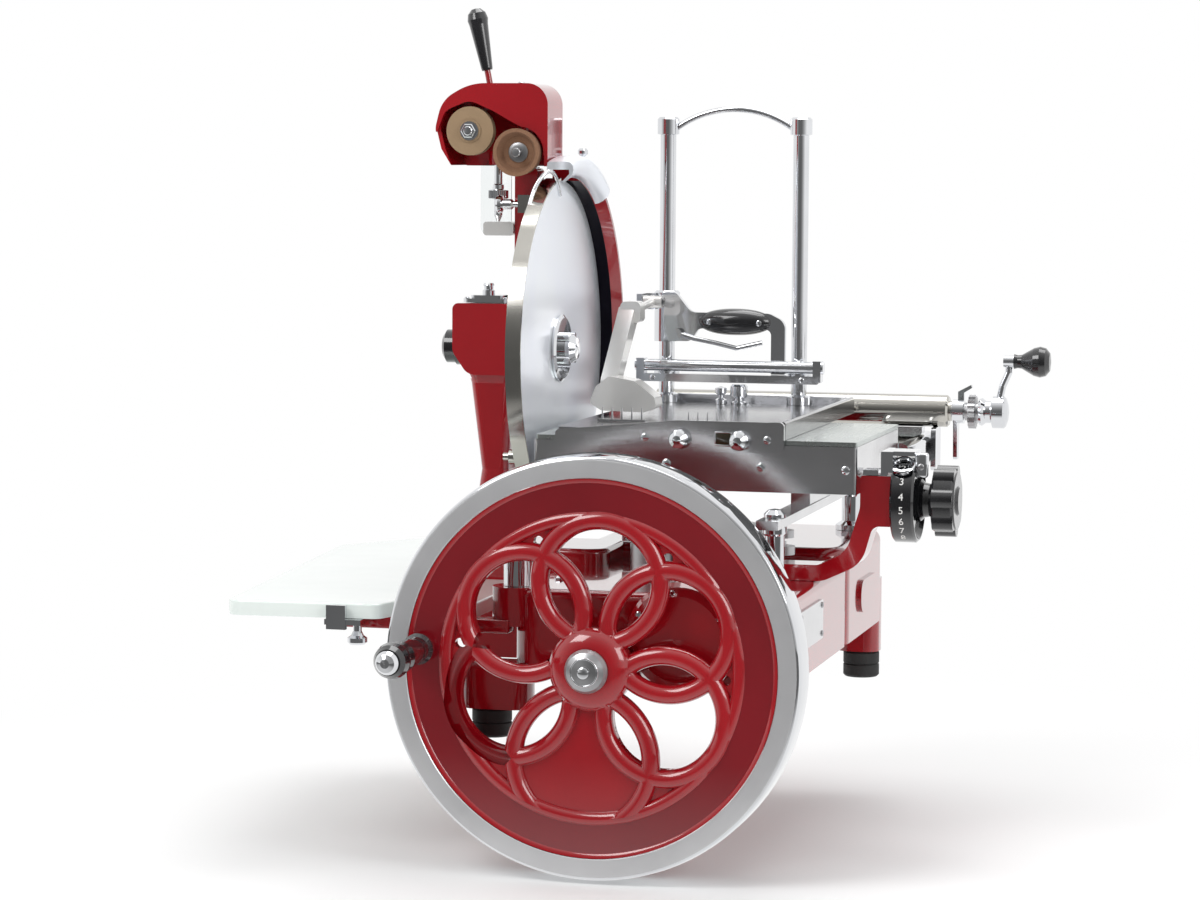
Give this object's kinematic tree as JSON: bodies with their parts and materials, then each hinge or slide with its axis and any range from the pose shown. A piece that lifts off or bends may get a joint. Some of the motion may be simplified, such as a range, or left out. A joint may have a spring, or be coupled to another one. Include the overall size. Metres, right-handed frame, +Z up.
{
  "type": "hand crank meat slicer",
  "caption": "Flywheel meat slicer: a hand-turned openwork wheel drives a round blade and the sliding carriage; screw-fed meat table, press, thickness dial and swing-in sharpener.",
  "frame": {"origin": "centre of the four feet's undersides, on the surface the machine stands on", "axes": "+X to the operator's right, +Y away from the operator along the carriage travel, +Z up"},
  "size_m": [0.7163, 0.6634, 0.7743],
  "materials": {
    "red_enamel": "high gloss enamel",
    "bright_chrome": "polished",
    "polished_steel": "polished",
    "bare_steel": "machined",
    "black_grip": "gloss",
    "black_enamel": "gloss",
    "foot_rubber": "matte",
    "white_glass": "gloss",
    "grey_top": "satin",
    "brown_stone": "matte"
  },
  "bodies": {
    "base": {"base_casting": "red_enamel", "rubber_feet": "foot_rubber", "side_cover_plate": "polished_steel", "drive_cover": "red_enamel", "carriage_rails": "polished_steel", "rail_posts": "bright_chrome", "blade_column": "red_enamel", "gearbox_top_cover": "bright_chrome", "shaft_end_cap": "black_enamel", "blade_guard": "red_enamel", "guard_top_cap": "bright_chrome", "slice_deflector": "bright_chrome", "plate_arm": "red_enamel", "plate_clip": "bright_chrome", "sharpener_post": "bright_chrome", "stop_block": "bright_chrome", "regulator_arm": "red_enamel", "dial_bezel": "bright_chrome"},
    "wheel": {"flywheel": "red_enamel", "flywheel_shaft": "bare_steel", "handle_spindle": "bright_chrome"},
    "grip": {"handle_grip": "black_grip"},
    "cross": {"cross_shaft": "bare_steel"},
    "upright": {"upright_shaft": "bare_steel"},
    "knife": {"blade_shaft": "bare_steel", "blade": "polished_steel", "blade_hub_nut": "bright_chrome"},
    "crank": {"crank_arm": "bare_steel"},
    "carriage": {"carriage_frame": "polished_steel", "carriage_plate": "grey_top", "feed_tube": "bright_chrome", "tube_brackets": "bright_chrome"},
    "link": {"connecting_rod": "bare_steel"},
    "screw": {"feed_screw": "bare_steel", "feed_crank": "bright_chrome"},
    "screw_knob": {"feed_knob": "black_grip"},
    "ratchet": {"ratchet_lever": "bright_chrome"},
    "table": {"meat_table": "polished_steel", "table_apron": "polished_steel", "table_knobs": "bright_chrome", "table_spikes": "polished_steel", "table_columns": "bright_chrome", "arch_bar": "bright_chrome"},
    "press": {"press_bracket": "bright_chrome", "press_grip": "black_grip", "press_bars": "bright_chrome"},
    "trigger": {"press_trigger": "bright_chrome"},
    "clamp": {"clamp_arm": "bright_chrome"},
    "dial": {"dial_drum": "black_enamel", "dial_knob": "black_grip"},
    "receiver": {"receiving_plate": "white_glass"},
    "plate_screw": {"plate_thumbscrew": "bright_chrome"},
    "guard_screw": {"guard_knob": "bright_chrome"},
    "deflector_turn": {"deflector_screw": "bright_chrome"},
    "head": {"sharpener_hood": "red_enamel"},
    "flat": {"flat_stone": "brown_stone"},
    "cup": {"cup_stone": "brown_stone"},
    "lever": {"sharpener_lever": "red_enamel", "lever_grip": "black_grip"},
    "adjuster": {"adjusting_screw": "bright_chrome"}
  },
  "joints": [
    {"name": "flywheel_spin", "type": "hinge", "parent": "base", "child": "wheel", "pos_m": [-0.021, -0.267, 0.073], "axis": [0, 1, 0], "continuous": true},
    {"name": "crank_grip_spin", "type": "hinge", "parent": "wheel", "child": "grip", "pos_m": [-0.17441, -0.34, 0.08642], "axis": [0, 1, 0], "continuous": true},
    {"name": "cross_shaft_spin", "type": "hinge", "parent": "base", "child": "cross", "pos_m": [-0.11, 0, 0.073], "axis": [1, 0, 0], "continuous": true},
    {"name": "upright_shaft_spin", "type": "hinge", "parent": "base", "child": "upright", "pos_m": [-0.186, 0, 0.2], "axis": [0, 0, 1], "continuous": true},
    {"name": "blade_spin", "type": "hinge", "parent": "base", "child": "knife", "pos_m": [-0.129, 0, 0.337], "axis": [1, 0, 0], "continuous": true},
    {"name": "crank_spin", "type": "hinge", "parent": "base", "child": "crank", "pos_m": [-0.021, -0.06, 0.14], "axis": [0, 0, 1], "continuous": true},
    {"name": "carriage_slide", "type": "slide", "parent": "base", "child": "carriage", "axis": [0, 1, 0], "range_m": [-0.095, 0.14]},
    {"name": "connecting_rod_swing", "type": "hinge", "parent": "carriage", "child": "link", "pos_m": [-0.021, 0.105, 0.168], "axis": [0, 0, 1], "range_deg": [-77, 0]},
    {"name": "feed_screw_turn", "type": "hinge", "parent": "carriage", "child": "screw", "pos_m": [0.1, 0.25, 0.267], "axis": [1, 0, 0], "range_deg": [-360, 5400]},
    {"name": "table_slide", "type": "slide", "parent": "carriage", "child": "table", "axis": [1, 0, 0], "range_m": [-0.004, 0.06]},
    {"name": "feed_knob_spin", "type": "hinge", "parent": "screw", "child": "screw_knob", "pos_m": [0.29, 0.25, 0.318], "axis": [1, 0, 0], "continuous": true},
    {"name": "ratchet_lever_swing", "type": "hinge", "parent": "carriage", "child": "ratchet", "pos_m": [0.217, 0.25, 0.267], "axis": [1, 0, 0], "range_deg": [-20, 20]},
    {"name": "press_slide", "type": "slide", "parent": "table", "child": "press", "axis": [0, 0, 1], "range_m": [0, 0.15]},
    {"name": "press_trigger_squeeze", "type": "hinge", "parent": "press", "child": "trigger", "pos_m": [-0.057, 0.192, 0.343], "axis": [0, -1, 0], "range_deg": [0, 5], "stiffness_Nm_per_rad": 0.3, "springref_deg": -2.86},
    {"name": "clamp_arm_swing", "type": "hinge", "parent": "press", "child": "clamp", "pos_m": [-0.083, 0.193, 0.374], "axis": [-1, 0, 0], "range_deg": [0, 35]},
    {"name": "thickness_dial_turn", "type": "hinge", "parent": "base", "child": "dial", "pos_m": [0.225, -0.09, 0.211], "axis": [1, 0, 0], "range_deg": [-45, 270]},
    {"name": "receiving_plate_lift", "type": "slide", "parent": "base", "child": "receiver", "axis": [0, 0, 1], "range_m": [0, 0.03]},
    {"name": "plate_thumbscrew_turn", "type": "hinge", "parent": "base", "child": "plate_screw", "pos_m": [-0.245, -0.257, 0.09], "axis": [0, 0, 1], "range_deg": [-360, 0]},
    {"name": "guard_knob_turn", "type": "hinge", "parent": "base", "child": "guard_screw", "pos_m": [-0.118, 0.048, 0.52], "axis": [0, 0, 1], "range_deg": [0, 360]},
    {"name": "deflector_screw_turn", "type": "hinge", "parent": "base", "child": "deflector_turn", "pos_m": [-0.17, -0.026, 0.474], "axis": [1, 0, 0], "range_deg": [0, 360]},
    {"name": "sharpener_lift", "type": "slide", "parent": "base", "child": "head", "axis": [0, 0, 1], "range_m": [0, 0.03]},
    {"name": "flat_stone_spin", "type": "hinge", "parent": "head", "child": "flat", "pos_m": [-0.207, -0.03, 0.543], "axis": [0, 1, 0], "continuous": true},
    {"name": "cup_stone_spin", "type": "hinge", "parent": "head", "child": "cup", "pos_m": [-0.1585, -0.036, 0.523], "axis": [0, 1, 0], "continuous": true},
    {"name": "sharpener_lever_swing", "type": "hinge", "parent": "head", "child": "lever", "pos_m": [-0.193, -0.008, 0.577], "axis": [0, 1, 0], "range_deg": [-10, 14]},
    {"name": "adjusting_screw_turn", "type": "hinge", "parent": "head", "child": "adjuster", "pos_m": [-0.187, -0.006, 0.48], "axis": [0, 0, 1], "range_deg": [-180, 180]}
  ],
  "couplings": [
    {"joint": "crank_spin", "follows": "flywheel_spin", "ratio": 1},
    {"joint": "cross_shaft_spin", "follows": "flywheel_spin", "ratio": -1},
    {"joint": "upright_shaft_spin", "follows": "flywheel_spin", "ratio": 2},
    {"joint": "blade_spin", "follows": "flywheel_spin", "ratio": -2},
    {"joint": "feed_screw_turn", "follows": "table_slide", "rad_per_m": 1570.8}
  ]
}
